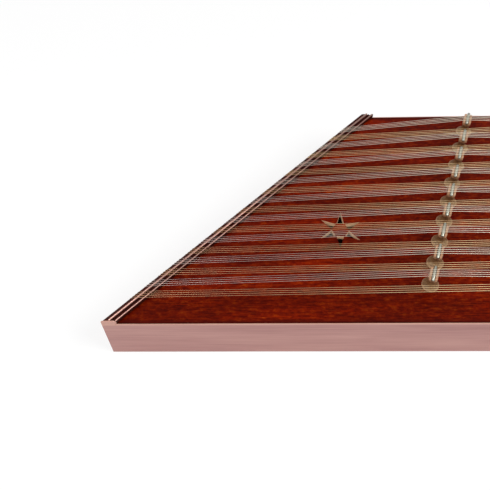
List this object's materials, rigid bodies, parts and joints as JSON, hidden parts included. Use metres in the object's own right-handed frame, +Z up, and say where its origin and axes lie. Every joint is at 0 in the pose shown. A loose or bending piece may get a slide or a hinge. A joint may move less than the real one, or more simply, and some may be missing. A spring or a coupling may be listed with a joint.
{
  "type": "santoor",
  "caption": "Trapezoid hammered dulcimer box with two rows of sliding bridges, string courses of four and turning tuning pins.",
  "frame": {"origin": "centre of the box's bottom face, midway between front and rear faces and between the front corners", "axes": "+X to the player's right along the strings, +Y from the long front side to the short rear side, +Z up"},
  "size_m": [0.9, 0.275, 0.0838],
  "materials": {
    "soundboard_lacquer": "gloss lacquer",
    "rail_wood": "satin lacquer",
    "back_wood": "satin",
    "saddle_wood": "gloss",
    "bridge_wood": "satin",
    "post_wood": "bare",
    "rod_brass": "polished",
    "rod_steel": "polished",
    "string_steel": "drawn wire",
    "string_brass": "drawn wire",
    "pin_steel": "nickel plated"
  },
  "bodies": {
    "box": {"soundboard": "soundboard_lacquer", "back_board": "back_wood", "front_rail": "rail_wood", "rear_rail": "rail_wood", "hitch_block": "rail_wood", "pin_block": "rail_wood", "left_saddle": "saddle_wood", "right_saddle": "saddle_wood", "left_nut_rod": "rod_brass", "right_nut_rod": "rod_brass", "sound_post_left": "post_wood", "sound_post_right": "post_wood", "sound_post_centre": "post_wood", "strings_steel_1": "string_steel", "strings_steel_2": "string_steel", "strings_steel_3": "string_steel", "strings_steel_4": "string_steel", "strings_steel_5": "string_steel", "strings_steel_6": "string_steel", "strings_steel_7": "string_steel", "strings_steel_8": "string_steel", "strings_steel_9": "string_steel", "strings_brass_1": "string_brass", "strings_brass_2": "string_brass", "strings_brass_3": "string_brass", "strings_brass_4": "string_brass", "strings_brass_5": "string_brass", "strings_brass_6": "string_brass", "strings_brass_7": "string_brass", "strings_brass_8": "string_brass", "strings_brass_9": "string_brass"},
    "bridge_left_1": {"bridge_left_1": "bridge_wood"},
    "bridge_left_2": {"bridge_left_2": "bridge_wood"},
    "bridge_left_3": {"bridge_left_3": "bridge_wood"},
    "bridge_left_4": {"bridge_left_4": "bridge_wood"},
    "bridge_left_5": {"bridge_left_5": "bridge_wood"},
    "bridge_left_6": {"bridge_left_6": "bridge_wood"},
    "bridge_left_7": {"bridge_left_7": "bridge_wood"},
    "bridge_left_8": {"bridge_left_8": "bridge_wood"},
    "bridge_left_9": {"bridge_left_9": "bridge_wood"},
    "bridge_right_1": {"bridge_right_1": "bridge_wood"},
    "bridge_right_2": {"bridge_right_2": "bridge_wood"},
    "bridge_right_3": {"bridge_right_3": "bridge_wood"},
    "bridge_right_4": {"bridge_right_4": "bridge_wood"},
    "bridge_right_5": {"bridge_right_5": "bridge_wood"},
    "bridge_right_6": {"bridge_right_6": "bridge_wood"},
    "bridge_right_7": {"bridge_right_7": "bridge_wood"},
    "bridge_right_8": {"bridge_right_8": "bridge_wood"},
    "bridge_right_9": {"bridge_right_9": "bridge_wood"},
    "tuning_pin_1": {"tuning_pin_1": "pin_steel"},
    "tuning_pin_2": {"tuning_pin_2": "pin_steel"},
    "tuning_pin_3": {"tuning_pin_3": "pin_steel"},
    "tuning_pin_4": {"tuning_pin_4": "pin_steel"},
    "tuning_pin_5": {"tuning_pin_5": "pin_steel"},
    "tuning_pin_6": {"tuning_pin_6": "pin_steel"},
    "tuning_pin_7": {"tuning_pin_7": "pin_steel"},
    "tuning_pin_8": {"tuning_pin_8": "pin_steel"},
    "tuning_pin_9": {"tuning_pin_9": "pin_steel"}
  },
  "joints": [
    {"name": "bridge_left_1_slide", "type": "slide", "parent": "box", "child": "bridge_left_1", "axis": [1, 0, 0], "range_m": [-0.005, 0.005]},
    {"name": "bridge_left_2_slide", "type": "slide", "parent": "box", "child": "bridge_left_2", "axis": [1, 0, 0], "range_m": [-0.005, 0.005]},
    {"name": "bridge_left_3_slide", "type": "slide", "parent": "box", "child": "bridge_left_3", "axis": [1, 0, 0], "range_m": [-0.005, 0.005]},
    {"name": "bridge_left_4_slide", "type": "slide", "parent": "box", "child": "bridge_left_4", "axis": [1, 0, 0], "range_m": [-0.005, 0.005]},
    {"name": "bridge_left_5_slide", "type": "slide", "parent": "box", "child": "bridge_left_5", "axis": [1, 0, 0], "range_m": [-0.005, 0.005]},
    {"name": "bridge_left_6_slide", "type": "slide", "parent": "box", "child": "bridge_left_6", "axis": [1, 0, 0], "range_m": [-0.005, 0.005]},
    {"name": "bridge_left_7_slide", "type": "slide", "parent": "box", "child": "bridge_left_7", "axis": [1, 0, 0], "range_m": [-0.005, 0.005]},
    {"name": "bridge_left_8_slide", "type": "slide", "parent": "box", "child": "bridge_left_8", "axis": [1, 0, 0], "range_m": [-0.005, 0.005]},
    {"name": "bridge_left_9_slide", "type": "slide", "parent": "box", "child": "bridge_left_9", "axis": [1, 0, 0], "range_m": [-0.005, 0.005]},
    {"name": "bridge_right_1_slide", "type": "slide", "parent": "box", "child": "bridge_right_1", "axis": [1, 0, 0], "range_m": [-0.005, 0.005]},
    {"name": "bridge_right_2_slide", "type": "slide", "parent": "box", "child": "bridge_right_2", "axis": [1, 0, 0], "range_m": [-0.005, 0.005]},
    {"name": "bridge_right_3_slide", "type": "slide", "parent": "box", "child": "bridge_right_3", "axis": [1, 0, 0], "range_m": [-0.005, 0.005]},
    {"name": "bridge_right_4_slide", "type": "slide", "parent": "box", "child": "bridge_right_4", "axis": [1, 0, 0], "range_m": [-0.005, 0.005]},
    {"name": "bridge_right_5_slide", "type": "slide", "parent": "box", "child": "bridge_right_5", "axis": [1, 0, 0], "range_m": [-0.005, 0.005]},
    {"name": "bridge_right_6_slide", "type": "slide", "parent": "box", "child": "bridge_right_6", "axis": [1, 0, 0], "range_m": [-0.005, 0.005]},
    {"name": "bridge_right_7_slide", "type": "slide", "parent": "box", "child": "bridge_right_7", "axis": [1, 0, 0], "range_m": [-0.005, 0.005]},
    {"name": "bridge_right_8_slide", "type": "slide", "parent": "box", "child": "bridge_right_8", "axis": [1, 0, 0], "range_m": [-0.005, 0.005]},
    {"name": "bridge_right_9_slide", "type": "slide", "parent": "box", "child": "bridge_right_9", "axis": [1, 0, 0], "range_m": [-0.005, 0.005]},
    {"name": "tuning_pin_1_turn", "type": "hinge", "parent": "box", "child": "tuning_pin_1", "pos_m": [0.42062, -0.1079, 0.046], "axis": [0.7097, 0.7045, 0], "continuous": true},
    {"name": "tuning_pin_2_turn", "type": "hinge", "parent": "box", "child": "tuning_pin_2", "pos_m": [0.395, -0.0821, 0.046], "axis": [0.7097, 0.7045, 0], "continuous": true},
    {"name": "tuning_pin_3_turn", "type": "hinge", "parent": "box", "child": "tuning_pin_3", "pos_m": [0.36939, -0.0563, 0.046], "axis": [0.7097, 0.7045, 0], "continuous": true},
    {"name": "tuning_pin_4_turn", "type": "hinge", "parent": "box", "child": "tuning_pin_4", "pos_m": [0.34378, -0.0305, 0.046], "axis": [0.7097, 0.7045, 0], "continuous": true},
    {"name": "tuning_pin_5_turn", "type": "hinge", "parent": "box", "child": "tuning_pin_5", "pos_m": [0.31817, -0.0047, 0.046], "axis": [0.7097, 0.7045, 0], "continuous": true},
    {"name": "tuning_pin_6_turn", "type": "hinge", "parent": "box", "child": "tuning_pin_6", "pos_m": [0.29255, 0.0211, 0.046], "axis": [0.7097, 0.7045, 0], "continuous": true},
    {"name": "tuning_pin_7_turn", "type": "hinge", "parent": "box", "child": "tuning_pin_7", "pos_m": [0.26694, 0.0469, 0.046], "axis": [0.7097, 0.7045, 0], "continuous": true},
    {"name": "tuning_pin_8_turn", "type": "hinge", "parent": "box", "child": "tuning_pin_8", "pos_m": [0.24133, 0.0727, 0.046], "axis": [0.7097, 0.7045, 0], "continuous": true},
    {"name": "tuning_pin_9_turn", "type": "hinge", "parent": "box", "child": "tuning_pin_9", "pos_m": [0.21572, 0.0985, 0.046], "axis": [0.7097, 0.7045, 0], "continuous": true}
  ]
}
